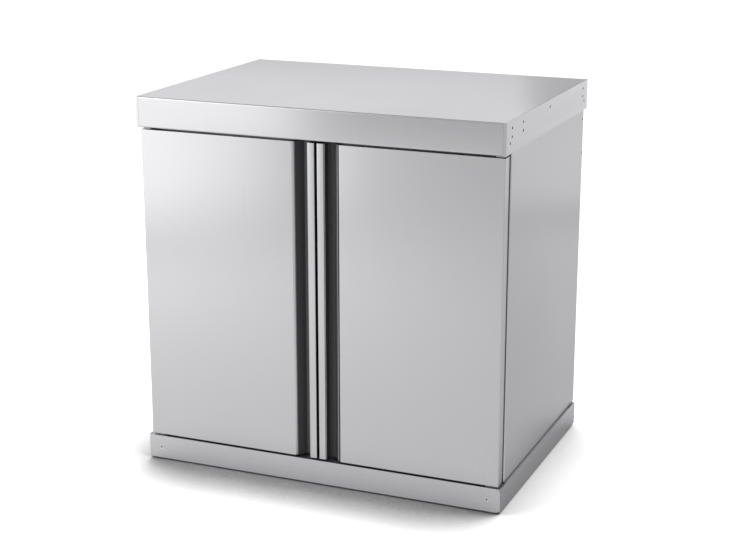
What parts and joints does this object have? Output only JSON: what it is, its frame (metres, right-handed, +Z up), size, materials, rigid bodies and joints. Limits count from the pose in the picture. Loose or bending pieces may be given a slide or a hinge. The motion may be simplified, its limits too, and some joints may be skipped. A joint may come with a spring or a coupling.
{
  "type": "outdoor kitchen cabinet",
  "caption": "Free-standing outdoor kitchen base cabinet in folded stainless sheet: deep-banded worktop over paired hinged doors with full-height finger grooves, inner shelf and plinth.",
  "frame": {"origin": "on the ground under the middle of the worktop", "axes": "+X to the right seen from the front, +Y from the doors to the back, +Z up"},
  "size_m": [0.904, 0.65, 0.9],
  "materials": {
    "brushed_stainless": "fine satin brushed stainless sheet",
    "zinc_steel": "dull zinc-plated steel",
    "black_nylon": "moulded matte",
    "black_rubber": "moulded matte rubber"
  },
  "bodies": {
    "carcass": {"back_panel": "brushed_stainless", "door_buffer_left": "black_rubber", "door_buffer_right": "black_rubber", "floor_panel": "brushed_stainless", "frame_channel_back": "zinc_steel", "frame_channel_front": "zinc_steel", "frame_channel_left": "zinc_steel", "frame_channel_right": "zinc_steel", "frame_corner_back_left": "zinc_steel", "frame_corner_back_right": "zinc_steel", "frame_corner_front_left": "zinc_steel", "frame_corner_front_right": "zinc_steel", "hinge_lower_bracket_left": "zinc_steel", "hinge_lower_bracket_right": "zinc_steel", "hinge_lower_pin_left": "zinc_steel", "hinge_lower_pin_right": "zinc_steel", "hinge_upper_bracket_left": "zinc_steel", "hinge_upper_bracket_right": "zinc_steel", "hinge_upper_pin_left": "zinc_steel", "hinge_upper_pin_right": "zinc_steel", "magnetic_catch_left": "black_nylon", "magnetic_catch_right": "black_nylon", "plinth_back": "brushed_stainless", "plinth_front": "brushed_stainless", "plinth_left": "brushed_stainless", "plinth_right": "brushed_stainless", "plinth_screw_back_1": "zinc_steel", "plinth_screw_back_2": "zinc_steel", "plinth_screw_front_1": "zinc_steel", "plinth_screw_front_2": "zinc_steel", "plinth_screw_left_1": "zinc_steel", "plinth_screw_left_2": "zinc_steel", "plinth_screw_right_1": "zinc_steel", "plinth_screw_right_2": "zinc_steel", "shelf": "brushed_stainless", "side_panel_left": "brushed_stainless", "side_panel_right": "brushed_stainless", "top_rail_back": "brushed_stainless", "top_rail_front": "brushed_stainless", "worktop": "brushed_stainless", "worktop_end_left": "brushed_stainless", "worktop_end_right": "brushed_stainless", "worktop_stiffener_back": "zinc_steel", "worktop_stiffener_front": "zinc_steel"},
    "left_door": {"left_door_skin": "brushed_stainless", "left_door_liner": "brushed_stainless", "left_door_bush_lower": "black_nylon", "left_door_bush_upper": "black_nylon", "left_door_strike": "zinc_steel", "left_door_groove_lining": "black_nylon"},
    "right_door": {"right_door_skin": "brushed_stainless", "right_door_liner": "brushed_stainless", "right_door_bush_lower": "black_nylon", "right_door_bush_upper": "black_nylon", "right_door_strike": "zinc_steel", "right_door_groove_lining": "black_nylon"},
    "foot_front_left": {"levelling_foot_front_left": "zinc_steel"},
    "foot_front_right": {"levelling_foot_front_right": "zinc_steel"},
    "foot_back_left": {"levelling_foot_back_left": "zinc_steel"},
    "foot_back_right": {"levelling_foot_back_right": "zinc_steel"}
  },
  "joints": [
    {"name": "left_door_hinge", "type": "hinge", "parent": "carcass", "child": "left_door", "pos_m": [-0.4325, -0.297, 0.066], "axis": [0, 0, -1], "range_deg": [0, 110]},
    {"name": "right_door_hinge", "type": "hinge", "parent": "carcass", "child": "right_door", "pos_m": [0.4325, -0.297, 0.066], "axis": [0, 0, 1], "range_deg": [0, 110]},
    {"name": "foot_front_left_screw", "type": "slide", "parent": "carcass", "child": "foot_front_left", "axis": [0, 0, -1], "range_m": [-0.003, 0.017]},
    {"name": "foot_front_right_screw", "type": "slide", "parent": "carcass", "child": "foot_front_right", "axis": [0, 0, -1], "range_m": [-0.003, 0.017]},
    {"name": "foot_back_left_screw", "type": "slide", "parent": "carcass", "child": "foot_back_left", "axis": [0, 0, -1], "range_m": [-0.003, 0.017]},
    {"name": "foot_back_right_screw", "type": "slide", "parent": "carcass", "child": "foot_back_right", "axis": [0, 0, -1], "range_m": [-0.003, 0.017]}
  ]
}
